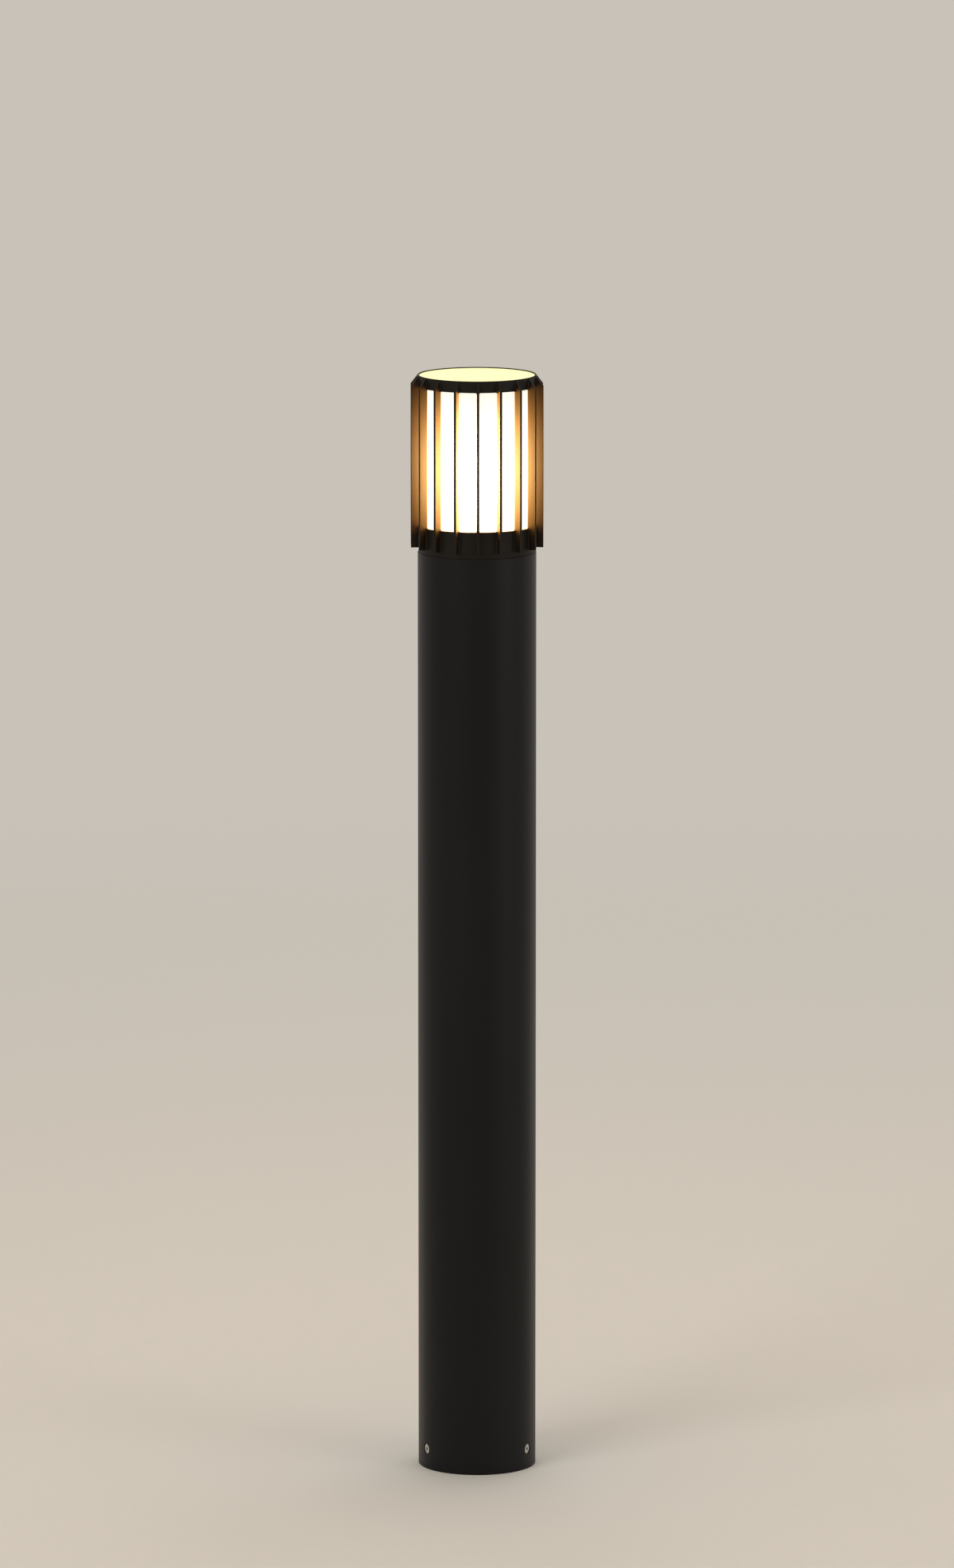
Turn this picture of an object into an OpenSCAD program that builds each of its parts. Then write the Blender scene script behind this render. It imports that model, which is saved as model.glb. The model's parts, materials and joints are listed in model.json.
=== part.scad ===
// Outdoor bollard light: a straight round post with a finned lantern head of the same core diameter.
// All sizes are in millimetres. The floor is z = 0, the axis is z, and the front faces -y.

/* [Post] */
// Outer diameter of the post tube, and of the lantern's core
post_d = 108; // [102:1:130]
// Length of the post tube
post_h = 850; // [400:10:1200]
// Wall of the post tube
post_wall = 3; // [2.5:0.5:4]
// Outer diameter of each screw port inside the tube
port_d = 9; // [8:0.5:11]
// Bore of each screw port
port_bore_d = 5; // [4.8:0.1:5.5]
// Chamfer of the tube's cut ends
post_edge = 0.4; // [0.2:0.1:1]
// Width of the slot along each screw port
port_slot_w = 2.5; // [2:0.5:3]
// Thickness of the web that joins a port to the wall
port_web_t = 3; // [2:0.5:5]

/* [Foot] */
// Gap between the cast foot and the bore of the tube
foot_gap = 0.4; // [0.2:0.1:1]
// Thickness of the foot's floor plate
plate_t = 6; // [5:0.5:10]
// Step of the plate's rim in from the faces of the side lugs
plate_step = 1; // [0.5:0.1:2]
// Height of the side screws above the floor
side_screw_z = 18.5; // [16:0.5:30]
// Width of each side lug
lug_w = 16; // [12:1:20]
// Radial depth of each side lug
lug_depth = 12.6; // [10:0.2:16]
// Thickness of the ribs between hub and lugs
rib_t = 4; // [3:0.5:8]
// Diameter of the hub round the cable hole
hub_d = 30; // [28:1:36]
// Height of the hub above the floor
hub_h = 12; // [10:1:20]
// Diameter of the cable hole
cable_hole_d = 20; // [18:1:24]
// Bore of the cable grommet
grommet_bore_d = 12; // [8:1:14]
// Width of the grommet's collar over the hub
grommet_lip = 3; // [2:0.5:4]
// Thickness of the grommet's collar
grommet_lip_t = 2.5; // [1.5:0.5:4]
// Pitch circle of the ground anchors
anchor_pcd = 76; // [70:1:80]
// Diameter of the anchor holes
anchor_hole_d = 9; // [7:0.5:11]
// Diameter of the raised pads round the anchor holes
anchor_pad_d = 18; // [16:1:20]
// Rise of the pads above the floor plate
anchor_pad_rise = 2; // [1:0.5:4]

/* [Side screws] */
// Thread diameter of the side screws
side_thread_d = 5; // [4:1:6]
// Length of the side screws, head included
side_screw_l = 16; // [14:1:20]
// Head diameter of the side screws
side_head_d = 9.3; // [8.5:0.1:11]
// Height of the side screws' cylindrical head rim
side_head_rim = 0.3; // [0.2:0.1:0.6]
// Size of the hexagon socket, across its flats
side_hex = 3; // [2.5:0.5:4]
// Depth of the head face below the post's surface
side_recess = 0.9; // [0.5:0.1:1.2]

/* [Head spigot] */
// Step of the visible collar in from the post's surface
collar_step = 0.8; // [0.4:0.1:2]
// Height of the visible collar
collar_h = 5; // [4:0.5:10]
// Wall of the sleeve inside the lantern
sleeve_wall = 3; // [2.5:0.5:4]
// Depth of the skirt inside the tube
skirt_h = 12; // [8:1:20]
// Wall of the skirt
skirt_wall = 3; // [2:0.5:4]
// Ring of metal between the spigot's opening and the port axes
spigot_land = 6; // [5:0.5:8]
// Wire diameter of the sealing ring in the collar
seal_d = 1.6; // [1.2:0.1:2]
// Thread diameter of the spigot screws
spigot_thread_d = 4.8; // [4:0.1:4.8]
// Grip length of the spigot screws under the head
spigot_screw_l = 20; // [16:1:30]
// Head diameter of the spigot screws
spigot_head_d = 9; // [8:0.5:9.5]
// Head height of the spigot screws
spigot_head_h = 3; // [2:0.5:4]

/* [Louvre cage] */
// Height of the cage
cage_h = 157; // [120:1:220]
// Number of fins
fin_count = 18; // [12:2:24]
// Depth that the fins stand out from the core
fin_proud = 7; // [5:0.5:20]
// Thickness of the fins
fin_t = 2.3; // [1.5:0.1:3]
// Radius of the fins' outer edges
fin_edge = 0.25; // [0.1:0.05:0.7]
// Turn of the front fin from the centre line
fin_turn = 0.9; // [0:0.1:10]
// Height of the chamfer on the fins' top corners
fin_chamfer_h = 9.3; // [4:0.1:20]
// Radius of the fillets at the fins' roots
fin_fillet = 1.2; // [0.8:0.1:1.4]
// Height of the closed band over the windows
top_band = 10.5; // [8:0.5:20]
// Height of the closed band under the windows
bottom_band = 19.5; // [17:0.5:30]
// Radius of the windows' corners
window_corner = 1.5; // [1:0.1:2.5]
// Thickness of the rim round the top disc
rim_t = 1; // [0.8:0.1:1.6]
// Chamfer of the core's outer edges
core_edge = 0.25; // [0.1:0.05:0.4]
// Width of the ledge that carries the diffuser
ledge_w = 2.7; // [2.4:0.1:3.5]
// Height of the ledge
ledge_h = 10; // [8:0.5:12]
// Radial gap between the ledge and the spigot's sleeve
slide_gap = 0.3; // [0.2:0.1:0.6]
// Thread diameter of the head's set screws
set_screw_d = 5; // [4:1:6]
// Size of the set screws' hexagon sockets
set_hex = 2.5; // [2:0.5:3]
// Depth of the set screws' ends below the core's surface
set_screw_inset = 0.3; // [0.1:0.1:1]

/* [Diffuser] */
// Wall of the opal cup
cup_wall = 2.5; // [2:0.1:3]
// Radial gap between the cup and the cage
cup_gap = 0.3; // [0.2:0.1:0.5]
// Depth of the top disc below the rim
cup_recess = 0.8; // [0.4:0.1:1.5]
// Radius of the cup's outer top edge
cup_edge = 0.6; // [0.3:0.1:1]
// Thickness of the gasket under the cup
gasket_t = 1.5; // [1:0.1:3]

/* [Lamp bracket and tray] */
// Thickness of the bent sheet
sheet_t = 1.5; // [1:0.1:2]
// Inner radius of its bends
bend_r = 1.5; // [1:0.5:2.5]
// Width of the lamp bracket
bracket_w = 22; // [16:1:26]
// Drop of the bracket's floor below the spigot's top
bracket_drop = 15; // [8:0.5:30]
// Thread diameter of the small screws on the bracket and for the earth
small_thread_d = 4; // [3:1:4]
// Grip length of the bracket screws under the head
bracket_screw_l = 6.5; // [5:0.5:12]
// Width of the hanging tray
tray_w = 34; // [32:1:44]
// Length of the hanging tray
tray_l = 100; // [80:5:200]
// Distance of the tray's face behind the axis
tray_y = 12; // [10:0.5:16]

/* [Terminal block] */
// Width of the terminal block
block_w = 31; // [30:0.5:32]
// Depth of the terminal block
block_depth = 15; // [13:0.5:18]
// Height of the terminal block
block_h = 20; // [18:1:26]
// Distance between the poles
pole_pitch = 9.5; // [9:0.1:10]
// Side of each brass sleeve
sleeve_side = 5; // [4.5:0.1:5.4]
// Bore of each brass sleeve
sleeve_bore = 3.2; // [2.8:0.1:3.6]
// Distance of the block's middle below the bracket
block_drop = 52; // [45:1:70]
// Outer diameter of the leads
lead_d = 2.2; // [1.6:0.1:2.4]

/* [Lampholder] */
// Outer diameter of the lampholder's skirt
holder_d = 40; // [37:0.5:44]
// Height of the lampholder
holder_h = 51; // [48:1:60]
// Height of the lampholder's cap
holder_cap_h = 16; // [14:1:20]
// Wall of the lampholder's cap and skirt
holder_wall = 2; // [1.5:0.1:2.4]
// Diameter of the threaded nipple under the lampholder
nipple_d = 10; // [9:1:12]
// Bore of the nipple
nipple_bore_d = 7.6; // [6:0.1:7.8]

/* [Lamp] */
// Diameter of the lamp's globe
globe_d = 60; // [45:1:62]
// Overall length of the lamp
lamp_l = 109; // [100:1:116]
// Wall of the globe
globe_wall = 1; // [0.8:0.1:1.5]
// Diameter of the lamp's screw cap over its thread
cap_d = 26.4; // [26:0.1:26.6]

/* [Hidden] */
$fn = 96;
// Overlap of cutters past the faces that they cut
eps = 0.5;
// Overlap of curved or slanted shapes where they would only touch
bite = 0.02;
// Radial clearance of a screw in its threaded hole, and of small parts in their seats
thread_gap = 0.05;
seat_gap = 0.1;

// Angles round the axis. The front is at -90 degrees
front_a = -90;
third = [0, 120, 240];
port_a = front_a;
side_screw_a = front_a + 60;
anchor_a = front_a + 90;
set_screw_a = [0, 180];

// Radii from the outside in
post_r = post_d / 2;
post_ri = post_r - post_wall;
core_r = post_r;
cage_ri = core_r - rim_t;
cup_r = cage_ri - cup_gap;
cup_ri = cup_r - cup_wall;
ledge_ri = cage_ri - ledge_w;
sleeve_ro = ledge_ri - slide_gap;
sleeve_ri = sleeve_ro - sleeve_wall;
collar_r = core_r - collar_step;
skirt_ro = post_ri - foot_gap;
skirt_ri = skirt_ro - skirt_wall;
port_r = sleeve_ri - spigot_head_d / 2 - 1;
opening_r = port_r - spigot_land;
foot_r = post_ri - foot_gap;
lug_ri = foot_r - lug_depth;
side_face_r = post_r - side_recess;
side_cone_h = (side_head_d - side_thread_d) / 2;
fin_r = core_r + fin_proud;
fin_step = 360 / fin_count;

// Heights from the floor up
collar_top = post_h + collar_h;
cage_top = collar_top + cage_h;
ledge_top = collar_top + ledge_h;
sleeve_top = ledge_top - seat_gap;
set_screw_z = collar_top + ledge_h / 2;
window_z0 = collar_top + bottom_band;
window_z1 = cage_top - top_band;
window_h = window_z1 - window_z0;
cup_z0 = ledge_top + gasket_t;
cup_z1 = cage_top - cup_recess;
bracket_z0 = collar_top - bracket_drop;
holder_z0 = bracket_z0 + sheet_t;
tray_top = bracket_z0;
tray_z0 = tray_top - tray_l;
block_zc = bracket_z0 - block_drop;
block_z0 = block_zc - block_h / 2;
block_z1 = block_zc + block_h / 2;

// Width of a window. Its sides meet the fins' sides at the core's surface and bite a little into them
window_w = 2 * (core_r * sin(fin_step / 2) - fin_t / 2 * cos(fin_step / 2) + bite);

// Seal groove in the collar's top face
seal_r = (collar_r + sleeve_ro) / 2;
seal_groove_w = seal_d + 0.2;

// Small screws: head, socket and cross slot proportions
small_head_d = 2 * small_thread_d;
small_head_h = 0.6 * small_thread_d;
slot_w = 0.8;
slot_depth = 1.2;

// Bracket: legs stand inside the spigot's opening, ears lie inside its sleeve
leg_x = sqrt(pow(opening_r, 2) - pow(bracket_w / 2, 2)) - bend_r - 2 * seat_gap;
ear_x = sqrt(pow(sleeve_ri, 2) - pow(bracket_w / 2, 2)) - 0.5;
bracket_screw_x = (opening_r + sleeve_ri) / 2;
nipple_r = nipple_d / 2;
nipple_hole_r = nipple_r + seat_gap;

// Terminal block
block_y0 = tray_y - block_depth;
pole_y = tray_y - block_depth / 2;
terminal_screw_dz = block_h / 4;
terminal_screw_d = 3;
well_d = 4.6;
lobe_gap = 2.4;
block_seat_y = block_y0 + 3;
block_screw_d = 3;
block_head_d = 4.4;
block_head_h = 2;
block_screw_x = pole_pitch / 2;
earth_x = pole_pitch;
earth_rise = 30;
earth_z = block_z1 + earth_rise;
lug_ring_d = 8;
lug_t = 0.8;
lug_neck = lug_ring_d / 2 + 1;
lug_barrel_d = lead_d + 1.4;
lug_barrel_l = 7;
lug_barrel_y = tray_y - lug_barrel_d / 2;
lug_barrel_z0 = earth_z - lug_neck - lug_barrel_l;
lead_x = lead_d / 2 + 0.5;

// Lampholder and its lamp, as heights above the bracket
nut_h = 3;
nut_af = 14;
boss_h = 7;
nipple_z0 = tray_top - sheet_t - nut_h - 2;
nipple_z1 = holder_z0 + boss_h;
insert_z0 = nipple_z1 + 3;
insert_disc_h = 7;
insert_socket_h = 25;
insert_wall = 2;
shell_t = 0.6;
contact_h = 3;
lamp_z0 = insert_z0 + insert_disc_h + contact_h;
cap_r = cap_d / 2;
shell_ri = cap_r + 0.5;
shell_ro = shell_ri + shell_t;
insert_ri = shell_ro + seat_gap;
insert_ro = insert_ri + insert_wall;
insert_top = insert_z0 + insert_disc_h + insert_socket_h;
contact_w = 6;
contact_l = 14;
contact_t = 0.5;
skirt_mouth_r = cap_r + 1.8;
wire_hole_x = 3;
wire_depth = 3;
globe_r = globe_d / 2;
globe_z = lamp_z0 + lamp_l - globe_r;
cap_z0 = lamp_z0 + 4;
cap_l = 21;
cap_z1 = cap_z0 + cap_l;
thread_pitch = 3.6;
thread_rings = 4;
seam_drop = 17;
seam_z = globe_z - seam_drop;
seam_r = sqrt(pow(globe_r, 2) - pow(seam_drop, 2));

// A flat ring
module ring(outer, inner, height) {
    difference() {
        cylinder(r = outer, h = height);
        translate([0, 0, -eps]) cylinder(r = inner, h = height + 2 * eps);
    }
}

// Turns its children about the axis to each angle, with local x pointing outwards
module around(angles, first = 0) {
    for (a = angles) rotate(a + first) children();
}

// Lays its children's z axis along the outward radius, at a radius and a height
module radial(radius, height) {
    translate([radius, 0, height]) rotate([0, 90, 0]) children();
}

// A regular hexagon prism, across flats
module hexagon(across_flats, height) {
    cylinder(d = across_flats / cos(30), h = height, $fn = 6);
}

// A countersunk screw with a hexagon socket. Its face is z = 0 and it points down
module countersunk_screw() {
    difference() {
        union() {
            translate([0, 0, -side_screw_l]) cylinder(d = side_thread_d, h = side_screw_l);
            translate([0, 0, -side_head_rim]) cylinder(d = side_head_d, h = side_head_rim);
            translate([0, 0, -side_head_rim - side_cone_h])
                cylinder(d1 = side_thread_d, d2 = side_head_d, h = side_cone_h);
        }
        translate([0, 0, -side_hex * 0.6]) hexagon(side_hex, side_hex);
    }
}

// A low cylindrical screw with a straight slot. Its seat is z = 0 and it points down
module slotted_screw(thread_d, grip, head_d, head_h) {
    difference() {
        union() {
            translate([0, 0, -grip]) cylinder(d = thread_d, h = grip + eps);
            cylinder(d = head_d, h = head_h);
        }
        translate([-head_d, -slot_w / 2, head_h - slot_depth]) cube([2 * head_d, slot_w, slot_depth + eps]);
    }
}

// One side lug of the foot: a block with a round top, faced to the bore of the tube
module foot_lug() {
    intersection() {
        union() {
            translate([lug_ri, -lug_w / 2, 0]) cube([lug_depth + eps, lug_w, side_screw_z]);
            radial(lug_ri, side_screw_z) cylinder(d = lug_w, h = lug_depth + eps);
        }
        cylinder(r = foot_r, h = side_screw_z + lug_w);
    }
}

// One sloping rib from the hub to a lug
module foot_rib() {
    rib_in = hub_d / 2 - 1;
    rib_out = lug_ri + 1;
    rib_high = side_screw_z + lug_w / 4;
    translate([0, rib_t / 2, 0]) rotate([90, 0, 0]) linear_extrude(rib_t)
        polygon([[rib_in, 0], [rib_out, 0], [rib_out, rib_high], [rib_in, hub_h - 1]]);
}

module base_socket() {
    notch_w = port_d + 2;
    run_out = 6;
    color("gainsboro") difference() {
        union() {
            cylinder(r = foot_r - plate_step, h = plate_t);
            cylinder(d = hub_d, h = hub_h);
            around(third, anchor_a) translate([anchor_pcd / 2, 0, 0])
                cylinder(d = anchor_pad_d, h = plate_t + anchor_pad_rise);
            around(third, side_screw_a) foot_lug();
            around(third, side_screw_a) foot_rib();
        }
        translate([0, 0, -eps]) cylinder(d = cable_hole_d, h = hub_h + 2 * eps);
        around(third, anchor_a) translate([anchor_pcd / 2, 0, -eps])
            cylinder(d = anchor_hole_d, h = plate_t + anchor_pad_rise + 2 * eps);
        around(third, side_screw_a) radial(lug_ri - run_out, side_screw_z)
            cylinder(d = side_thread_d + 2 * thread_gap, h = run_out + lug_depth + eps);
        around(third, port_a) {
            translate([port_r, 0, -eps]) cylinder(d = notch_w, h = plate_t + 2 * eps);
            translate([port_r, -notch_w / 2, -eps]) cube([post_ri, notch_w, plate_t + 2 * eps]);
        }
    }
}

module cable_grommet() {
    body_r = cable_hole_d / 2 - seat_gap;
    lip_r = cable_hole_d / 2 + grommet_lip;
    bore_r = grommet_bore_d / 2;
    color("#1c1c1c") rotate_extrude() polygon([
        [bore_r, 0], [body_r, 0], [body_r, hub_h], [lip_r, hub_h], [lip_r, hub_h + grommet_lip_t / 2],
        [lip_r - grommet_lip_t / 2, hub_h + grommet_lip_t], [bore_r, hub_h + grommet_lip_t],
    ]);
}

module side_screws() {
    color("silver") around(third, side_screw_a) radial(side_face_r, side_screw_z) countersunk_screw();
}

// Section of the extruded tube with its three open screw ports
module tube_section() {
    difference() {
        union() {
            difference() {
                circle(r = post_r);
                circle(r = post_ri);
            }
            around(third, port_a) {
                translate([port_r, 0]) circle(d = port_d);
                translate([port_r, -port_web_t / 2]) square([post_ri + post_wall / 2 - port_r, port_web_t]);
            }
        }
        around(third, port_a) {
            translate([port_r, 0]) circle(d = port_bore_d);
            translate([port_r - port_d, -port_slot_w / 2]) square([port_d, port_slot_w]);
        }
    }
}

// Cutter that chamfers a round's outer edge at z = 0
module edge_cutter(radius, edge) {
    rotate_extrude() polygon([
        [radius - edge - eps, -eps], [radius + eps, -eps], [radius + eps, edge + eps],
    ]);
}

module post_tube() {
    hole_d = side_thread_d + 0.6;
    pocket_d = side_head_d + 2 * seat_gap;
    color("#17171b") difference() {
        linear_extrude(post_h) tube_section();
        edge_cutter(post_r, post_edge);
        translate([0, 0, post_h]) mirror([0, 0, 1]) edge_cutter(post_r, post_edge);
        around(third, side_screw_a) radial(side_face_r, side_screw_z) {
            translate([0, 0, -side_head_rim]) cylinder(d = pocket_d, h = side_recess + side_head_rim + eps);
            translate([0, 0, -side_head_rim - side_cone_h])
                cylinder(d1 = side_thread_d + 2 * seat_gap, d2 = pocket_d, h = side_cone_h);
            translate([0, 0, -post_wall - eps]) cylinder(d = hole_d, h = post_wall);
        }
    }
}

// The sleeve that the lantern slides over, with a lead-in at its top
module spigot_sleeve() {
    lead_in = 1;
    rotate_extrude() polygon([
        [sleeve_ri, collar_top - eps], [sleeve_ro, collar_top - eps], [sleeve_ro, sleeve_top - lead_in],
        [sleeve_ro - lead_in, sleeve_top], [sleeve_ri, sleeve_top],
    ]);
}

module head_spigot() {
    web_notch = port_web_t + 2;
    color("#1b1b20") difference() {
        union() {
            translate([0, 0, post_h]) ring(collar_r, opening_r, collar_h);
            spigot_sleeve();
            translate([0, 0, post_h - skirt_h]) ring(skirt_ro, skirt_ri, skirt_h + eps);
        }
        translate([0, 0, collar_top - seal_d])
            ring(seal_r + seal_groove_w / 2, seal_r - seal_groove_w / 2, seal_d + eps);
        around(third, port_a) {
            translate([port_r, 0, post_h - eps]) cylinder(d = spigot_thread_d + 0.6, h = collar_h + 2 * eps);
            translate([skirt_ri - eps, -web_notch / 2, post_h - skirt_h - eps])
                cube([skirt_wall + 2, web_notch, skirt_h + eps]);
        }
        around([0, 180]) translate([bracket_screw_x, 0, post_h - eps])
            cylinder(d = small_thread_d + 2 * thread_gap, h = collar_h + 2 * eps);
    }
}

module spigot_screws() {
    color("silver") around(third, port_a) translate([port_r, 0, collar_top])
        slotted_screw(spigot_thread_d, spigot_screw_l, spigot_head_d, spigot_head_h);
}

module head_seal() {
    color("#202020") rotate_extrude() translate([seal_r, collar_top - seal_d / 2 - thread_gap])
        circle(d = seal_d - 2 * thread_gap);
}

// Quarter of a bend in the sheet's section. Its centre is the origin
module bend_corner() {
    intersection() {
        difference() {
            circle(r = bend_r + sheet_t);
            circle(r = bend_r);
        }
        square(bend_r + sheet_t);
    }
}

// Half of the bracket's section: floor, leg and ear, drawn in x and z
module bracket_half() {
    floor_end = leg_x - sheet_t - bend_r;
    leg_low = bracket_z0 + sheet_t + bend_r;
    leg_high = collar_top - bend_r;
    ear_start = leg_x + bend_r;
    translate([0, bracket_z0]) square([floor_end, sheet_t]);
    translate([floor_end, leg_low]) mirror([0, 1]) bend_corner();
    translate([leg_x - sheet_t, leg_low]) square([sheet_t, leg_high - leg_low]);
    translate([ear_start, leg_high]) mirror([1, 0]) bend_corner();
    translate([ear_start, collar_top]) square([ear_x - ear_start, sheet_t]);
}

module lamp_bracket() {
    color("lightsteelblue") difference() {
        translate([0, bracket_w / 2, 0]) rotate([90, 0, 0]) linear_extrude(bracket_w) {
            bracket_half();
            mirror([1, 0]) bracket_half();
        }
        translate([0, 0, bracket_z0 - eps]) cylinder(r = nipple_hole_r, h = sheet_t + 2 * eps);
        around([0, 180]) translate([bracket_screw_x, 0, collar_top - eps])
            cylinder(d = small_thread_d + 4 * seat_gap, h = sheet_t + 2 * eps);
    }
}

module bracket_screws() {
    color("silver") around([0, 180]) translate([bracket_screw_x, 0, collar_top + sheet_t])
        slotted_screw(small_thread_d, bracket_screw_l, small_head_d, small_head_h);
}

// Section of the hanging tray, drawn in y and z
module tray_section() {
    bend_z = tray_top - sheet_t - bend_r;
    translate([-bracket_w / 2, tray_top - sheet_t]) square([tray_y - bend_r + bracket_w / 2, sheet_t]);
    translate([tray_y - bend_r, bend_z]) bend_corner();
    translate([tray_y, tray_z0]) square([sheet_t, bend_z - tray_z0]);
}

module gear_tray() {
    color("lightsteelblue") difference() {
        translate([-tray_w / 2, 0, 0]) rotate([90, 0, 90]) linear_extrude(tray_w) tray_section();
        translate([0, 0, tray_top - sheet_t - eps]) cylinder(r = nipple_hole_r, h = sheet_t + 2 * eps);
        for (x = [-1, 1]) translate([x * block_screw_x, tray_y - eps, block_zc]) rotate([-90, 0, 0])
            cylinder(d = block_screw_d + 2 * thread_gap, h = sheet_t + 2 * eps);
        translate([earth_x, tray_y - eps, earth_z]) rotate([-90, 0, 0])
            cylinder(d = small_thread_d + 2 * thread_gap, h = sheet_t + 2 * eps);
    }
}

// Turns its children to point out of the block's front, at a place on it
module on_block(x, y, z) {
    translate([x, y, z]) rotate([90, 0, 0]) children();
}

// Body of the terminal block: a base with three lobes, sleeve channels, screw wells and fixing holes
module terminal_block() {
    lobe_w = pole_pitch - lobe_gap;
    color("ivory") difference() {
        union() {
            translate([-block_w / 2, block_seat_y, block_z0]) cube([block_w, tray_y - block_seat_y, block_h]);
            for (pole = [-1:1]) translate([pole * pole_pitch - lobe_w / 2, block_y0, block_z0])
                cube([lobe_w, block_depth, block_h]);
        }
        for (pole = [-1:1]) {
            translate([pole * pole_pitch - sleeve_side / 2, pole_y - sleeve_side / 2, block_z0 - eps])
                cube([sleeve_side, sleeve_side, block_h + 2 * eps]);
            for (side = [-1, 1])
                on_block(pole * pole_pitch, pole_y, block_zc + side * terminal_screw_dz)
                    cylinder(d = well_d, h = block_depth);
        }
        for (x = [-1, 1]) {
            on_block(x * block_screw_x, tray_y + eps, block_zc)
                cylinder(d = block_screw_d + 2 * seat_gap, h = block_depth + 2 * eps);
            on_block(x * block_screw_x, block_seat_y, block_zc)
                cylinder(d = block_head_d + 2 * seat_gap, h = block_depth);
        }
    }
}

module terminal_sleeves() {
    side = sleeve_side - 2 * thread_gap;
    color("goldenrod") for (pole = [-1:1]) difference() {
        translate([pole * pole_pitch - side / 2, pole_y - side / 2, block_z0 + 1])
            cube([side, side, block_h - 2]);
        translate([pole * pole_pitch, pole_y, block_z0]) cylinder(d = sleeve_bore, h = block_h);
        for (half = [-1, 1]) on_block(pole * pole_pitch, pole_y, block_zc + half * terminal_screw_dz)
            cylinder(d = terminal_screw_d + 2 * thread_gap, h = sleeve_side);
    }
}

module terminal_screws() {
    length = 3.6;
    tip = lead_d / 2 + thread_gap;
    color("silver") for (pole = [-1:1]) for (half = [-1, 1])
        on_block(pole * pole_pitch, pole_y - tip, block_zc + half * terminal_screw_dz) difference() {
            cylinder(d = terminal_screw_d, h = length);
            translate([-well_d / 2, -slot_w / 2, length - slot_depth])
                cube([well_d, slot_w, slot_depth + eps]);
        }
}

module block_screws() {
    grip = tray_y + sheet_t - block_seat_y;
    color("silver") for (x = [-1, 1]) on_block(x * block_screw_x, block_seat_y, block_zc)
        slotted_screw(block_screw_d, grip, block_head_d, block_head_h);
}

module earth_screw() {
    color("silver") on_block(earth_x, tray_y - lug_t, earth_z)
        slotted_screw(small_thread_d, lug_t + sheet_t + 1.5, small_head_d, small_head_h);
}

// Ring terminal: a flat ring under the screw head and a crimped barrel below it
module earth_lug() {
    end_wall = 1;
    color("silver") difference() {
        union() {
            on_block(earth_x, tray_y, earth_z) cylinder(d = lug_ring_d, h = lug_t);
            translate([earth_x - lug_barrel_d / 2, tray_y - lug_t, earth_z - lug_neck - eps])
                cube([lug_barrel_d, lug_t, lug_neck + eps]);
            translate([earth_x, lug_barrel_y, lug_barrel_z0]) cylinder(d = lug_barrel_d, h = lug_barrel_l);
        }
        on_block(earth_x, tray_y + eps, earth_z)
            cylinder(d = small_thread_d + 2 * seat_gap, h = lug_t + 2 * eps);
        translate([earth_x, lug_barrel_y, lug_barrel_z0 - eps])
            cylinder(d = lead_d + 2 * thread_gap, h = lug_barrel_l + eps - end_wall);
    }
}

// Point at parameter t on the smooth curve through the route's points
function route_point(route, t) =
    let (last = len(route) - 1, i = min(floor(t), last - 1), u = t - i)
    let (a = route[max(i - 1, 0)], b = route[i], c = route[i + 1], d = route[min(i + 2, last)])
    0.5 * (2 * b + (c - a) * u + (2 * a - 5 * b + 4 * c - d) * u * u + (3 * b - a - 3 * c + d) * u * u * u);

function unit(v) = v / norm(v);

// A round lead swept along a route, as rings of eight points. No stretch runs along the side vector
module lead(route, side = [0, 1, 0]) {
    sides = 8;
    steps = 4;
    count = steps * (len(route) - 1);
    path = [for (k = [0:count]) route_point(route, k / steps)];
    function along(k) = unit(path[min(k + 1, count)] - path[max(k - 1, 0)]);
    points = [
        for (k = [0:count])
            let (t = along(k), u = unit(cross(t, side)), v = cross(t, u))
            for (s = [0:sides - 1])
                path[k] + lead_d / 2 * (cos(360 * s / sides) * u + sin(360 * s / sides) * v)
    ];
    walls = [
        for (k = [0:count - 1]) for (s = [0:sides - 1])
            let (n = (s + 1) % sides, a = k * sides, b = a + sides)
            each [[a + s, b + s, b + n], [a + s, b + n, a + n]]
    ];
    ends = [
        [for (s = [0:sides - 1]) s],
        [for (s = [sides - 1:-1:0]) count * sides + s],
    ];
    polyhedron(points, concat(walls, ends));
}

// Straight start of a route, in the sleeve of a pole and just above it
function pole_start(pole) = [for (z = [-9, -1, 4]) [pole * pole_pitch, pole_y, block_z1 + z]];

// Route from a pole of the terminal block up through the nipple to the insert
function lamp_lead_route(pole, side) = [
    each pole_start(pole),
    [pole * pole_pitch * 0.7, pole_y - 1, block_z1 + 14],
    [side * 1.8, 0.5, nipple_z0 - 12],
    [side * lead_x, 0, nipple_z0],
    [side * lead_x, 0, nipple_z1 - 1],
    [side * wire_hole_x, 0, insert_z0],
    [side * wire_hole_x, 0, insert_z0 + wire_depth],
];

module live_lead() {
    color("saddlebrown") lead(lamp_lead_route(-1, -1));
}

module neutral_lead() {
    color("royalblue") lead(lamp_lead_route(0, 1));
}

module earth_lead() {
    color("yellowgreen") lead([
        each pole_start(1),
        [pole_pitch, (pole_y + lug_barrel_y) / 2, (block_z1 + lug_barrel_z0) / 2],
        [earth_x, lug_barrel_y, lug_barrel_z0 - 4],
        [earth_x, lug_barrel_y, lug_barrel_z0 + 1],
        [earth_x, lug_barrel_y, lug_barrel_z0 + 5],
    ], side = [1, 0, 0]);
}

module holder_nipple() {
    color("goldenrod") translate([0, 0, nipple_z0]) ring(nipple_r, nipple_bore_d / 2, nipple_z1 - nipple_z0);
}

module holder_nut() {
    color("silver") translate([0, 0, tray_top - sheet_t - nut_h]) difference() {
        hexagon(nut_af, nut_h);
        translate([0, 0, -eps]) cylinder(r = nipple_r + thread_gap, h = nut_h + 2 * eps);
    }
}

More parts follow.
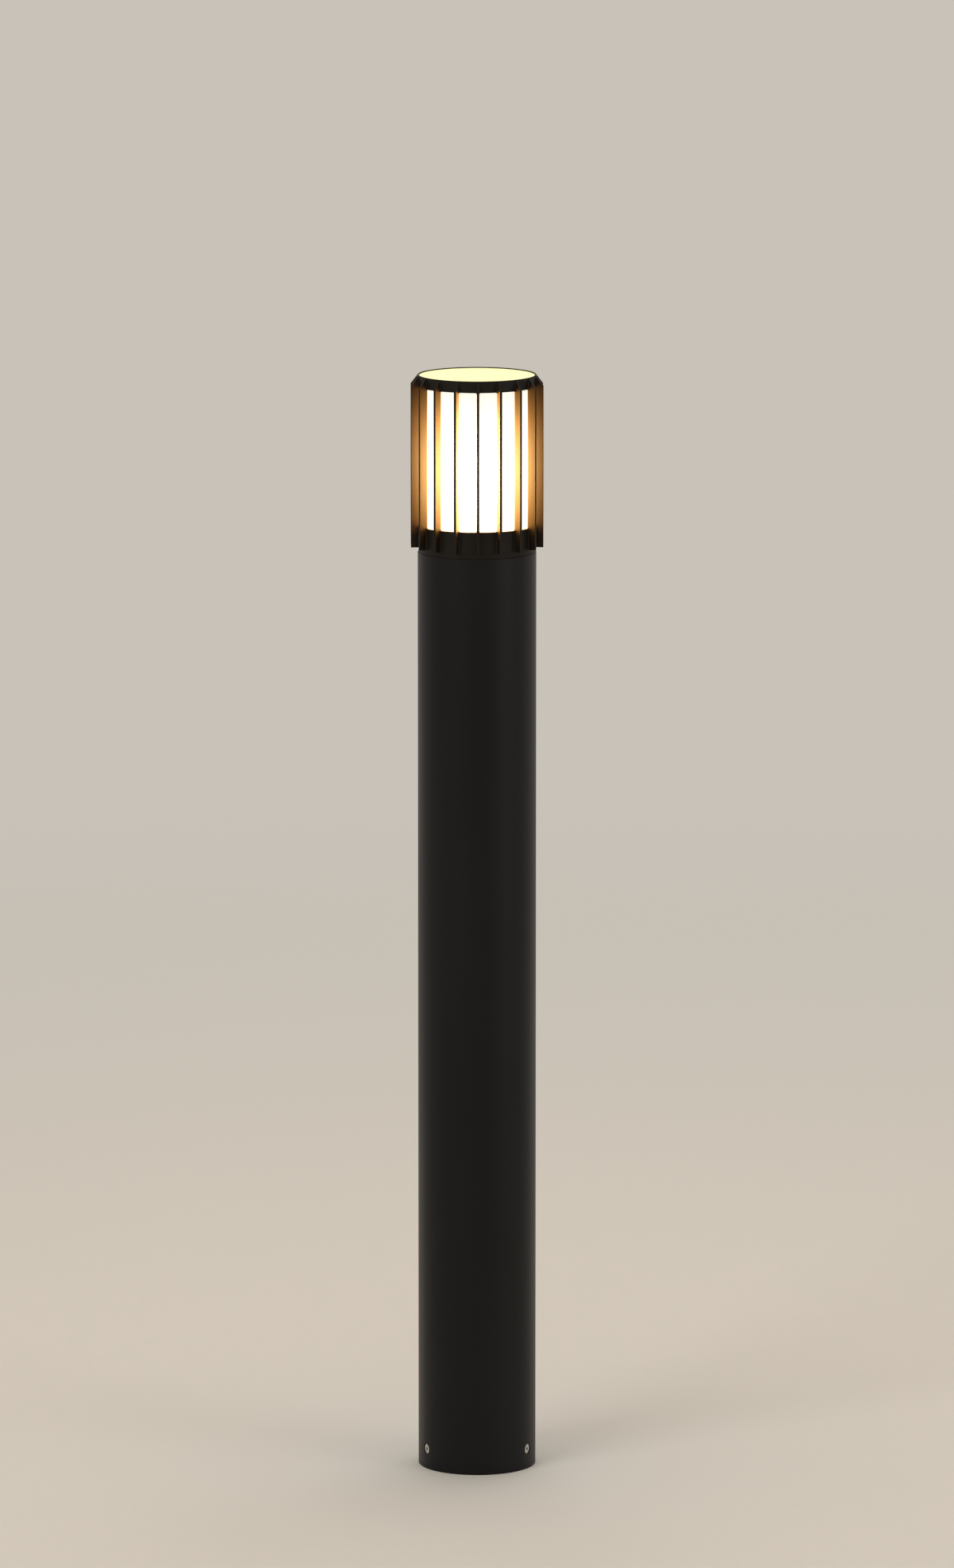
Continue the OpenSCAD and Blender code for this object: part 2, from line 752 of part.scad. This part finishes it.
// The lampholder's cap: a round cup with a boss for the nipple
module holder_cap() {
    outer = holder_d / 2;
    corner = 3;
    boss_r = nipple_r + 3;
    color("whitesmoke") translate([0, 0, holder_z0]) rotate_extrude() difference() {
        union() {
            translate([nipple_hole_r, 0]) square([outer - corner - nipple_hole_r, holder_wall]);
            translate([outer - holder_wall, corner]) square([holder_wall, holder_cap_h - corner]);
            translate([outer - corner, corner]) circle(r = corner);
            translate([nipple_hole_r, 0]) square([boss_r - nipple_hole_r, boss_h]);
        }
        translate([boss_r, holder_wall]) square([outer - holder_wall - boss_r, holder_cap_h]);
    }
}

// The lampholder's skirt: a tube with grip flutes and a mouth that shrouds the lamp's cap
module holder_skirt() {
    outer = holder_d / 2;
    flutes = 24;
    flute_r = 1.2;
    flute_inset = 4;
    mouth_h = 2.5;
    z0 = holder_z0 + holder_cap_h;
    z1 = holder_z0 + holder_h;
    color("whitesmoke") difference() {
        rotate_extrude() polygon([
            [outer - holder_wall, z0], [outer, z0], [outer, z1 - 1.5], [outer - 1.5, z1],
            [skirt_mouth_r, z1], [skirt_mouth_r, z1 - mouth_h], [outer - holder_wall, z1 - mouth_h - 1],
        ]);
        around([for (k = [0:flutes - 1]) k * 360 / flutes])
            translate([outer + flute_r / 2, 0, z0 + flute_inset])
            cylinder(r = flute_r, h = z1 - z0 - 2 * flute_inset);
    }
}

// The lampholder's insert: a thick disc with a deep round socket on it
module holder_insert() {
    rim_r = holder_d / 2 - holder_wall - seat_gap;
    color("ivory") difference() {
        union() {
            translate([0, 0, insert_z0]) cylinder(r = rim_r, h = insert_disc_h);
            translate([0, 0, insert_z0 + insert_disc_h - eps])
                ring(insert_ro, insert_ri, insert_top - insert_z0 - insert_disc_h + eps);
        }
        for (x = [-1, 1]) translate([x * wire_hole_x, 0, insert_z0 - eps])
            cylinder(d = lead_d + 2 * seat_gap, h = wire_depth + 2 * eps);
    }
}

module holder_shell() {
    z0 = insert_z0 + insert_disc_h;
    color("goldenrod") translate([0, 0, z0]) ring(shell_ro, shell_ri, insert_top - z0 - 1);
}

// Springy centre contact: a strip that rises from the insert and lies under the lamp's button
module holder_contact() {
    foot_z = insert_z0 + insert_disc_h;
    top_z = lamp_z0 - contact_t;
    color("goldenrod") translate([0, contact_w / 2, 0]) rotate([90, 0, 0]) linear_extrude(contact_w) polygon([
        [-contact_l / 2, foot_z], [-contact_l / 4, foot_z], [-contact_l / 8, top_z], [contact_l / 4, top_z],
        [contact_l / 4, lamp_z0], [-contact_l / 8 - contact_t, lamp_z0],
        [-contact_l / 4 - contact_t, foot_z + contact_t], [-contact_l / 2, foot_z + contact_t],
    ]);
}

// Contact button on its insulating cone
module lamp_contact() {
    color("dimgray") rotate_extrude() polygon([
        [0, lamp_z0], [4.2, lamp_z0], [4.8, lamp_z0 + 0.6], [4.8, lamp_z0 + 1.4],
        [cap_r - 2.2, cap_z0], [0, cap_z0],
    ]);
}

// Screw cap with rolled threads, drawn as closed rings
module lamp_cap() {
    root_r = cap_r - 0.9;
    crest = 0.9;
    color("silver") rotate_extrude() {
        polygon([
            [0, cap_z0], [cap_r - 2.2, cap_z0], [root_r, cap_z0 + 1.8], [root_r, cap_z1 - 3],
            [cap_r, cap_z1 - 2], [cap_r, cap_z1], [0, cap_z1],
        ]);
        for (k = [0:thread_rings - 1]) translate([root_r, cap_z0 + 3.4 + k * thread_pitch]) circle(r = crest);
    }
}

// Flared housing of the lamp, from its screw cap to the seam with the globe
module lamp_body() {
    neck_r = cap_r + 1;
    neck_z = cap_z1 + 1.5;
    bands = 12;
    flare = [for (k = [0:bands]) let (u = k / bands)
        [neck_r + (seam_r - neck_r) * (1 - cos(180 * u)) / 2, neck_z + (seam_z - neck_z) * u]];
    color("white") rotate_extrude()
        polygon(concat([[0, cap_z1], [neck_r - 0.6, cap_z1]], flare, [[0, seam_z]]));
}

module lamp_globe() {
    color("floralwhite") rotate_extrude() intersection() {
        translate([0, globe_z]) difference() {
            circle(r = globe_r);
            circle(r = globe_r - globe_wall);
        }
        translate([0, seam_z]) square([globe_d, globe_d]);
    }
}

// Section of the cage's wall and ledge, drawn in radius and z
module cage_core_section() {
    lead_in = 0.8;
    polygon([
        [ledge_ri + lead_in, collar_top], [core_r - core_edge, collar_top], [core_r, collar_top + core_edge],
        [core_r, cage_top - core_edge], [core_r - core_edge, cage_top], [cage_ri, cage_top],
        [cage_ri, ledge_top], [ledge_ri, ledge_top], [ledge_ri, collar_top + lead_in],
    ]);
}

// Section of a fin seen from above, with rounded outer edges
module fin_section() {
    root = core_r - rim_t / 2;
    flat_w = fin_t - 2 * fin_edge;
    translate([root, -fin_t / 2]) square([fin_r - fin_edge - root, fin_t]);
    translate([root, -flat_w / 2]) square([fin_r - root, flat_w]);
    for (side = [-1, 1]) translate([fin_r - fin_edge, side * flat_w / 2]) circle(r = fin_edge);
}

// One fin with its chamfered top corner
module fin() {
    difference() {
        translate([0, 0, collar_top]) linear_extrude(cage_h) fin_section();
        translate([0, fin_t, 0]) rotate([90, 0, 0]) linear_extrude(2 * fin_t) polygon([
            [core_r - core_edge, cage_top], [fin_r, cage_top - fin_chamfer_h],
            [fin_r + eps, cage_top - fin_chamfer_h], [fin_r + eps, cage_top + eps],
            [core_r - core_edge, cage_top + eps],
        ]);
    }
}

// Section of the fillets on both sides of a fin's root. Their arcs bite a little into both faces
module root_fillets() {
    root = core_r - rim_t / 2;
    centre_y = fin_t / 2 + fin_fillet - bite;
    centre_x = sqrt(pow(core_r + fin_fillet - bite, 2) - pow(centre_y, 2));
    foot_a = atan2(centre_y, centre_x);
    for (side = [-1, 1]) scale([1, side]) difference() {
        polygon([[root, 0], [root * cos(foot_a), root * sin(foot_a)], [centre_x, centre_y], [centre_x, 0]]);
        translate([centre_x, centre_y]) circle(r = fin_fillet);
    }
}

// Outline of one window, as a rectangle with round corners. Its first axis is the height
module window_outline() {
    inner_h = window_h - 2 * window_corner;
    inner_w = window_w - 2 * window_corner;
    square([inner_h, window_w], center = true);
    square([window_h, inner_w], center = true);
    for (x = [-1, 1]) for (y = [-1, 1])
        translate([x * inner_h / 2, y * inner_w / 2]) circle(r = window_corner);
}

module louvre_cage() {
    fins = [for (k = [0:fin_count - 1]) front_a + fin_turn + k * fin_step];
    top_fillet_h = top_band - fin_chamfer_h * (fin_fillet + core_edge) / (fin_proud + core_edge);
    cutter_r = cage_ri * cos(fin_step / 2) - eps;
    color("#1b1b20") difference() {
        union() {
            rotate_extrude() cage_core_section();
            around(fins) fin();
            around(fins) {
                translate([0, 0, collar_top]) linear_extrude(bottom_band) root_fillets();
                translate([0, 0, window_z1]) linear_extrude(top_fillet_h) root_fillets();
            }
        }
        around(fins, fin_step / 2) radial(cutter_r, (window_z0 + window_z1) / 2)
            linear_extrude(core_r + eps - cutter_r) window_outline();
        around(set_screw_a, fin_turn) radial(ledge_ri - eps, set_screw_z)
            cylinder(d = set_screw_d + 2 * thread_gap, h = ledge_w + rim_t + 2 * eps);
    }
}

module diffuser_gasket() {
    color("lightgray") translate([0, 0, ledge_top]) ring(cage_ri - seat_gap, ledge_ri + seat_gap, gasket_t);
}

// The opal cup: a tube closed by its top disc
module diffuser_cup() {
    inner_edge = 2;
    color("lightyellow") rotate_extrude() difference() {
        union() {
            translate([0, cup_z0]) square([cup_r, cup_z1 - cup_edge - cup_z0]);
            translate([0, cup_z0]) square([cup_r - cup_edge, cup_z1 - cup_z0]);
            translate([cup_r - cup_edge, cup_z1 - cup_edge]) circle(r = cup_edge);
        }
        translate([0, cup_z0 - eps]) square([cup_ri, cup_z1 - cup_wall - inner_edge - cup_z0 + eps]);
        translate([0, cup_z0 - eps]) square([cup_ri - inner_edge, cup_z1 - cup_wall - cup_z0 + eps]);
        translate([cup_ri - inner_edge, cup_z1 - cup_wall - inner_edge]) circle(r = inner_edge);
    }
}

module set_screws() {
    tip_r = sleeve_ro + slide_gap;
    length = core_r - set_screw_inset - tip_r;
    color("#222222") around(set_screw_a, fin_turn) radial(tip_r, set_screw_z) difference() {
        cylinder(d = set_screw_d, h = length);
        translate([0, 0, length - set_hex * 0.8]) hexagon(set_hex, set_hex);
    }
}

base_socket();
cable_grommet();
side_screws();
post_tube();
head_spigot();
spigot_screws();
head_seal();
lamp_bracket();
bracket_screws();
gear_tray();
terminal_block();
terminal_sleeves();
terminal_screws();
block_screws();
earth_screw();
earth_lug();
live_lead();
neutral_lead();
earth_lead();
holder_nipple();
holder_nut();
holder_cap();
holder_skirt();
holder_insert();
holder_shell();
holder_contact();
lamp_contact();
lamp_cap();
lamp_body();
lamp_globe();
louvre_cage();
diffuser_gasket();
diffuser_cup();
set_screws();
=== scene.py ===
import json
import math

import bpy
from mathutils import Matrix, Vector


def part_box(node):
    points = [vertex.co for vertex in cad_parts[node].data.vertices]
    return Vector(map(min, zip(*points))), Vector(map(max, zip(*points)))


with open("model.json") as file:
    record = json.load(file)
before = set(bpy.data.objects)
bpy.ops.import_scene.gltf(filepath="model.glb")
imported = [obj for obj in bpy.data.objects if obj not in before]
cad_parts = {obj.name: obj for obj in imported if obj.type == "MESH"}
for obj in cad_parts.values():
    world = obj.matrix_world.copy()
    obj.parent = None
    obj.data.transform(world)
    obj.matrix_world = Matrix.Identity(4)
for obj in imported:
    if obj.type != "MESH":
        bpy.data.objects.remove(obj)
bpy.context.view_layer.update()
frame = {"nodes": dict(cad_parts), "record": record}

# Sizes are in metres, in the model's own frame: z is the post's axis and the front faces -y
MM = 0.001

# The photograph's frame and the camera that was fitted to it
PHOTO_W, PHOTO_H = 1200, 1972
FOCAL_PX = 12039.0
CAMERA_PITCH = math.radians(9.564)
CAMERA_DISTANCE = 8.623
CAMERA_HEIGHT = 2.088
SENSOR = 36.0

scene = bpy.context.scene


def make_camera():
    """A long lens in front of the post, looking a little down."""
    data = bpy.data.cameras.new("camera")
    data.sensor_width = SENSOR
    data.sensor_fit = "AUTO"
    data.lens = FOCAL_PX * SENSOR / max(PHOTO_W, PHOTO_H)
    data.clip_start = 0.1
    data.clip_end = 200.0
    camera = bpy.data.objects.new("camera", data)
    camera.location = (0, -CAMERA_DISTANCE, CAMERA_HEIGHT)
    camera.rotation_euler = (math.pi / 2 - CAMERA_PITCH, 0, 0)
    scene.collection.objects.link(camera)
    scene.camera = camera


class Graph:
    """A material's node tree, with short ways to add and join nodes. Lengths in it are millimetres."""

    def __init__(self, name):
        self.material = bpy.data.materials.new(name)
        self.material.use_nodes = True
        self.tree = self.material.node_tree
        self.shader = self.tree.nodes["Principled BSDF"]
        place = self.node("ShaderNodeTexCoord").outputs["Object"]
        self.place = self.scaled(place, (1 / MM, 1 / MM, 1 / MM))

    def node(self, kind, **settings):
        made = self.tree.nodes.new(kind)
        for name, value in settings.items():
            setattr(made, name, value)
        return made

    def join(self, value, socket):
        """Puts a socket's output, or a plain value, into another socket."""
        if isinstance(value, bpy.types.NodeSocket):
            self.tree.links.new(value, socket)
        else:
            socket.default_value = value

    def scaled(self, vector, scale):
        mapping = self.node("ShaderNodeMapping")
        self.join(vector, mapping.inputs["Vector"])
        mapping.inputs["Scale"].default_value = scale
        return mapping.outputs["Vector"]

    def axis(self, letter):
        """One coordinate of the place, in millimetres."""
        split = self.node("ShaderNodeSeparateXYZ")
        self.join(self.place, split.inputs[0])
        return split.outputs[letter]

    def math(self, operation, a, b=0.0, clamp=False):
        made = self.node("ShaderNodeMath", operation=operation, use_clamp=clamp)
        self.join(a, made.inputs[0])
        self.join(b, made.inputs[1])
        return made.outputs[0]

    def radius(self):
        """Distance from the post's axis, in millimetres."""
        x, y = self.axis("X"), self.axis("Y")
        return self.math("SQRT", self.math("ADD", self.math("MULTIPLY", x, x), self.math("MULTIPLY", y, y)))

    def noise(self, size, detail=2.0, rough=0.5, stretch=(1, 1, 1)):
        """Smooth noise whose features are about size millimetres wide, from 0 to 1."""
        made = self.node("ShaderNodeTexNoise")
        self.join(self.scaled(self.place, stretch), made.inputs["Vector"])
        made.inputs["Scale"].default_value = 1 / size
        made.inputs["Detail"].default_value = detail
        made.inputs["Roughness"].default_value = rough
        return made.outputs["Fac"]

    def cells(self, size):
        """Cell noise with cells of about size millimetres."""
        made = self.node("ShaderNodeTexVoronoi")
        self.join(self.place, made.inputs["Vector"])
        made.inputs["Scale"].default_value = 1 / size
        return made

    def spread(self, value, low, high, out_low, out_high, kind="LINEAR"):
        """Maps a value from one range to another, held at its ends."""
        made = self.node("ShaderNodeMapRange", interpolation_type=kind)
        ends = {"From Min": low, "From Max": high, "To Min": out_low, "To Max": out_high}
        for name, number in ends.items():
            self.join(number, made.inputs[name])
        self.join(value, made.inputs["Value"])
        return made.outputs["Result"]

    def blend(self, share, a, b):
        """Blends two colours."""
        made = self.node("ShaderNodeMix", data_type="RGBA")
        self.join(share, made.inputs["Factor"])
        for value, socket in ((a, made.inputs["A"]), (b, made.inputs["B"])):
            self.join(value if isinstance(value, bpy.types.NodeSocket) else (*value, 1.0), socket)
        return made.outputs["Result"]

    def mix(self, share, a, b):
        """Blends two numbers."""
        made = self.node("ShaderNodeMix", data_type="FLOAT")
        for value, name in ((share, "Factor"), (a, "A"), (b, "B")):
            self.join(value, made.inputs[name])
        return made.outputs["Result"]

    def bump(self, *layers):
        """Stacks bumps, each as (height from 0 to 1, depth in millimetres)."""
        normal = None
        for height, depth in layers:
            made = self.node("ShaderNodeBump")
            made.inputs["Distance"].default_value = depth * MM
            self.join(height, made.inputs["Height"])
            if normal is not None:
                self.join(normal, made.inputs["Normal"])
            normal = made.outputs["Normal"]
        self.join(normal, self.shader.inputs["Normal"])

    def set(self, **sockets):
        """Sets the shader's sockets, named with underscores, from outputs, numbers or colours."""
        for name, value in sockets.items():
            if isinstance(value, tuple):
                value = (*value, 1.0)
            self.join(value, self.shader.inputs[name.replace("_", " ")])


# The parts of a noise's range that the materials use, for fine grain, for clouds and for wide stains
GRAIN = (0.3, 0.7)
CLOUDS = (0.35, 0.7)
STAINS = (0.3, 0.75)
# How far fine grain takes the roughness down and up
GRAIN_SHIFT = (-0.03, 0.05)


def shaded(colour, factor):
    """The colour, darker or lighter by a factor."""
    return tuple(factor * c for c in colour)


def powder_coat(name, colour, grain, depth, shine, rough):
    """Near-black satin powder coat: orange peel of the given grain, finer pores and a few paler specks."""
    g = Graph(name)
    clouds = g.noise(90, detail=3, stretch=(1, 1, 0.35))
    peel = g.noise(grain, detail=2)
    pores = g.noise(grain / 4, detail=1)
    tone = g.blend(g.spread(clouds, *CLOUDS, 0, 1), colour, shaded(colour, 1.6))
    specks = g.spread(g.cells(grain * 1.6).outputs["Distance"], 0.0, 0.16, 0.35, 0.0)
    g.set(Base_Color=g.blend(specks, tone, shaded(colour, 3)))
    satin = g.spread(clouds, *STAINS, rough, rough + 0.08)
    g.set(Roughness=g.math("ADD", satin, g.spread(pores, *GRAIN, *GRAIN_SHIFT)), Specular_IOR_Level=shine)
    g.bump((peel, depth), (pores, depth / 3))
    return g.material


def cast_metal(name, colour):
    """Bare sand casting: grainy, dull, with darker hollows."""
    g = Graph(name)
    grain = g.noise(0.7, detail=4, rough=0.65)
    stains = g.noise(14, detail=3)
    hollows = g.spread(stains, *STAINS, 0, 0.6)
    g.set(Base_Color=g.blend(hollows, colour, shaded(colour, 0.55)), Metallic=0.85)
    g.set(Roughness=g.spread(grain, *GRAIN, 0.42, 0.62))
    g.bump((grain, 0.09), (stains, 0.15))
    return g.material


def worked_metal(name, colour, roughness, tint):
    """Plated, turned or oxidised metal, with fine marks and a faint change of tint."""
    g = Graph(name)
    marks = g.noise(0.25, detail=3, rough=0.6)
    patches = g.noise(9, detail=2)
    g.set(Base_Color=g.blend(g.spread(patches, *CLOUDS, 0, 1), colour, tint), Metallic=1.0)
    marked = g.spread(marks, *GRAIN, roughness * 0.8, roughness * 1.25)
    g.set(Roughness=g.math("ADD", marked, g.spread(patches, *GRAIN, *GRAIN_SHIFT)))
    g.bump((marks, 0.006))
    return g.material


def zinc_plate(name, colour):
    """Zinc-plated sheet and screws: bluish crystal patches with slightly different shine."""
    g = Graph(name)
    crystals = g.cells(5).outputs["Color"]
    grey = g.node("ShaderNodeRGBToBW")
    g.join(crystals, grey.inputs[0])
    level = grey.outputs[0]
    smear = g.noise(0.5, detail=3, stretch=(1, 1, 0.1))
    bluish = (colour[0] * 0.9, colour[1] * 0.97, colour[2] * 1.05)
    g.set(Base_Color=g.blend(level, colour, bluish), Metallic=1.0)
    g.set(Roughness=g.math("ADD", g.spread(level, 0, 1, 0.27, 0.36), g.spread(smear, *GRAIN, -0.04, 0.06)))
    g.bump((smear, 0.004))
    return g.material


def moulded(name, colour, roughness, depth=0.012, through=0.0, coat=0.0):
    """Moulded plastic, rubber or glaze: fine eroded grain, a few flow clouds."""
    g = Graph(name)
    spark = g.noise(0.35, detail=3, rough=0.6)
    flow = g.noise(25, detail=2)
    g.set(Base_Color=g.blend(g.spread(flow, *CLOUDS, 0, 1), colour, shaded(colour, 0.85)))
    g.set(Roughness=g.spread(spark, *GRAIN, roughness * 0.88, roughness * 1.15))
    g.set(Subsurface_Weight=through, Coat_Weight=coat, Coat_Roughness=0.08)
    g.shader.inputs["Subsurface Radius"].default_value = (0.004, 0.003, 0.002)
    g.bump((spark, depth))
    return g.material


def glow(g, colour, strength):
    """Light from the surface, on top of its daylight look."""
    g.join((*colour, 1.0) if isinstance(colour, tuple) else colour, g.shader.inputs["Emission Color"])
    g.join(strength, g.shader.inputs["Emission Strength"])


# The light that the lantern throws, at its brightest height and at the wall's ends. The black fins show it
LIGHT_COLOUR = (1.0, 0.53, 0.17)
END_COLOUR = (1.0, 0.42, 0.08)
WALL_PEAK = 84.0
WALL_ENDS = 0.1
# The glow's brightest height, in millimetres below the wall's middle
PEAK_DROP = 9.5
# What the eye sees of the glowing wall itself, which is far paler and calmer than the light that it throws
SEEN_COLOUR = (1.0, 0.96, 0.84)
SEEN_PEAK = 1.5
SEEN_ENDS = 0.75
# The top disc: its colour, its radius in millimetres, and its level at the middle and at the edge
TOP_COLOUR = (0.75, 0.68, 0.2)
TOP_RADIUS = 52.0
TOP_LEVELS = (1.06, 0.94)
# Depths under the cup's top between which the wall's look turns into the disc's, behind the cage's top band
TURN_LOW, TURN_HIGH = 3.0, 1.5


def opal_cup(name, colour):
    """Opal acrylic, lit from inside: brightest round the lamp's middle, calm and pale yellow on top."""
    g = Graph(name)
    low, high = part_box("diffuser_cup")
    peak = (low.z + high.z) / 2 / MM - PEAK_DROP
    reach = high.z / MM - peak
    from_peak = g.math("ABSOLUTE", g.math("SUBTRACT", g.axis("Z"), peak))
    share = g.math("DIVIDE", from_peak, reach, clamp=True)
    arch = g.math("COSINE", g.math("MULTIPLY", share, math.pi / 2))
    bell = g.math("MULTIPLY", arch, arch)
    thrown = g.spread(bell, 0, 1, WALL_PEAK * WALL_ENDS, WALL_PEAK)
    seen = g.spread(g.math("POWER", arch, 1.5), 0, 1, SEEN_ENDS, SEEN_PEAK)
    on_top = g.spread(g.axis("Z"), high.z / MM - TURN_LOW, high.z / MM - TURN_HIGH, 0, 1)
    spot = g.spread(g.radius(), 0, TOP_RADIUS, *TOP_LEVELS)
    direct = g.node("ShaderNodeLightPath").outputs["Is Camera Ray"]
    wall_colour = g.blend(direct, g.blend(bell, END_COLOUR, LIGHT_COLOUR), SEEN_COLOUR)
    wall_level = g.mix(direct, thrown, seen)
    flow = g.noise(18, detail=2)
    g.set(Base_Color=g.blend(flow, colour, shaded(colour, 0.96)))
    g.set(Roughness=g.spread(g.noise(0.6, detail=3), *GRAIN, 0.3, 0.38))
    g.bump((g.noise(6, detail=1), 0.01))
    glow(g, g.blend(on_top, wall_colour, TOP_COLOUR), g.mix(on_top, wall_level, spot))
    return g.material


def lit_globe(name, colour):
    """The lamp's own opal globe, with a softer rim at its seam."""
    g = Graph(name)
    low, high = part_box("lamp_globe")
    rise = g.spread(g.axis("Z"), low.z / MM, (low.z + high.z) / 2 / MM, 0.35, 0.95)
    g.set(Base_Color=g.blend(g.noise(12), colour, shaded(colour, 0.97)), Roughness=0.35)
    glow(g, (1.0, 0.86, 0.6), rise)
    return g.material


def insulation(name, colour, stripe=None):
    """Smooth wire insulation. A stripe colour runs along its +x side."""
    g = Graph(name)
    waves = g.noise(3, detail=2, stretch=(1, 1, 0.2))
    base = g.blend(waves, colour, shaded(colour, 0.75))
    if stripe:
        low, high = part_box("earth_lead")
        middle = (low.x + high.x) / 2 / MM
        base = g.blend(g.spread(g.axis("X"), middle + 0.15, middle + 0.25, 0, 1), base, stripe)
    g.set(Base_Color=base, Roughness=g.spread(waves, *GRAIN, 0.36, 0.46))
    g.bump((waves, 0.01))
    return g.material


def make_materials():
    """One material for each slot of the record."""
    return {
        "post_paint": powder_coat("post_paint", (0.0026, 0.0026, 0.0031), 0.9, 0.03, 0.2, 0.36),
        # The head paint's warm brown tint is painted light: the lamp's warm glow laid into the black paint
        "head_paint": powder_coat("head_paint", (0.0062, 0.0042, 0.0023), 0.6, 0.02, 0.17, 0.44),
        "cast_aluminium": cast_metal("cast_aluminium", (0.58, 0.58, 0.57)),
        "stainless": worked_metal("stainless", (0.62, 0.61, 0.58), 0.27, (0.56, 0.54, 0.5)),
        "black_oxide": worked_metal("black_oxide", (0.035, 0.034, 0.036), 0.4, (0.05, 0.045, 0.04)),
        "zinc_steel": zinc_plate("zinc_steel", (0.66, 0.68, 0.7)),
        "rubber": moulded("rubber", (0.022, 0.022, 0.023), 0.72, depth=0.02),
        "silicone": moulded("silicone", (0.72, 0.72, 0.69), 0.5, through=0.4),
        "opal": opal_cup("opal", (0.46, 0.45, 0.41)),
        "block_plastic": moulded("block_plastic", (0.72, 0.69, 0.6), 0.45, through=0.1),
        "holder_plastic": moulded("holder_plastic", (0.8, 0.79, 0.75), 0.35),
        "holder_ceramic": moulded("holder_ceramic", (0.76, 0.73, 0.66), 0.3, coat=0.8),
        "brass": worked_metal("brass", (0.72, 0.5, 0.2), 0.25, (0.62, 0.4, 0.15)),
        "nickel": worked_metal("nickel", (0.72, 0.7, 0.66), 0.18, (0.66, 0.63, 0.58)),
        "insulator": moulded("insulator", (0.03, 0.028, 0.026), 0.25, coat=0.5),
        "lamp_housing": moulded("lamp_housing", (0.84, 0.84, 0.82), 0.28, coat=0.3),
        "lamp_glow": lit_globe("lamp_glow", (0.5, 0.48, 0.44)),
        "lead_brown": insulation("lead_brown", (0.13, 0.05, 0.022)),
        "lead_blue": insulation("lead_blue", (0.03, 0.11, 0.42)),
        "lead_green": insulation("lead_green", (0.12, 0.33, 0.04), stripe=(0.75, 0.62, 0.04)),
    }


def dress_nodes(materials):
    for row in frame["record"]["subparts"]:
        mesh = frame["nodes"][row["node"]].data
        mesh.materials.clear()
        mesh.materials.append(materials[row["material_slot"]])


# Studio
FLOOR_COLOUR = (0.70, 0.665, 0.61)
FLOOR_RADIUS = 60.0
# Distances from the post where the floor starts to fade into the surround, and where it has done so
FADE_START, FADE_END = 0.8, 4.2
BACKDROP = (0.665, 0.62, 0.555)
# The surround's level as a light, and as the background that is seen
WORLD_LEVEL = 0.8
WORLD_SEEN = 0.87


def background_rays(tree):
    """1 on the rays that show the background itself: to the camera, and in mirrors and glass."""
    path = tree.nodes.new("ShaderNodeLightPath")
    total = path.outputs["Is Camera Ray"]
    for name in ("Is Glossy Ray", "Is Transmission Ray"):
        larger = tree.nodes.new("ShaderNodeMath")
        larger.operation = "MAXIMUM"
        tree.links.new(total, larger.inputs[0])
        tree.links.new(path.outputs[name], larger.inputs[1])
        total = larger.outputs[0]
    return total


def make_floor():
    """A pale floor. Away from the post, its picture fades into the surround, whatever the lamps do there."""
    bpy.ops.mesh.primitive_circle_add(vertices=96, radius=FLOOR_RADIUS, fill_type="NGON")
    floor = bpy.context.object
    floor.name = "floor"
    g = Graph("floor")
    grain = g.spread(g.noise(2.5, detail=3), *GRAIN, 0, 1)
    fade = g.spread(g.radius(), FADE_START / MM, FADE_END / MM, 0, 1, kind="SMOOTHSTEP")
    near = g.blend(grain, FLOOR_COLOUR, shaded(FLOOR_COLOUR, 0.985))
    g.set(Base_Color=g.blend(fade, near, (0.0, 0.0, 0.0)), Roughness=0.85)
    g.set(Specular_IOR_Level=g.spread(fade, 0, 1, 0.2, 0))
    glow(g, BACKDROP, g.math("MULTIPLY", g.spread(fade, 0, 1, 0, WORLD_SEEN), background_rays(g.tree)))
    floor.data.materials.append(g.material)


def make_world():
    """A pale surround. What the camera and mirrors see of it is as bright as the floor."""
    world = bpy.data.worlds.new("studio")
    scene.world = world
    world.use_nodes = True
    nodes, links = world.node_tree.nodes, world.node_tree.links
    back = nodes["Background"]
    back.inputs["Color"].default_value = (*BACKDROP, 1.0)
    level = nodes.new("ShaderNodeMapRange")
    level.inputs["To Min"].default_value = WORLD_LEVEL
    level.inputs["To Max"].default_value = WORLD_SEEN
    links.new(background_rays(world.node_tree), level.inputs["Value"])
    links.new(level.outputs["Result"], back.inputs["Strength"])


def area_lamp(name, place, target, size, power):
    data = bpy.data.lights.new(name, "AREA")
    data.shape = "RECTANGLE"
    data.size, data.size_y = size
    data.energy = power
    lamp = bpy.data.objects.new(name, data)
    lamp.location = place
    direction = Vector(target) - Vector(place)
    lamp.rotation_euler = direction.to_track_quat("-Z", "Y").to_euler()
    scene.collection.objects.link(lamp)


def make_lights():
    """One large soft key from the front left, a weaker fill from the right and a soft top light."""
    centre = (0, 0, 0.5)
    area_lamp("key", (-2.6, -3.0, 2.9), centre, (2.2, 2.6), 60)
    area_lamp("fill", (3.2, -2.0, 1.6), centre, (1.8, 2.6), 22)
    area_lamp("top", (0.4, 1.8, 3.6), centre, (2.6, 2.6), 36)


make_camera()
make_floor()
make_world()
make_lights()
dress_nodes(make_materials())

scene.view_settings.view_transform = "Standard"
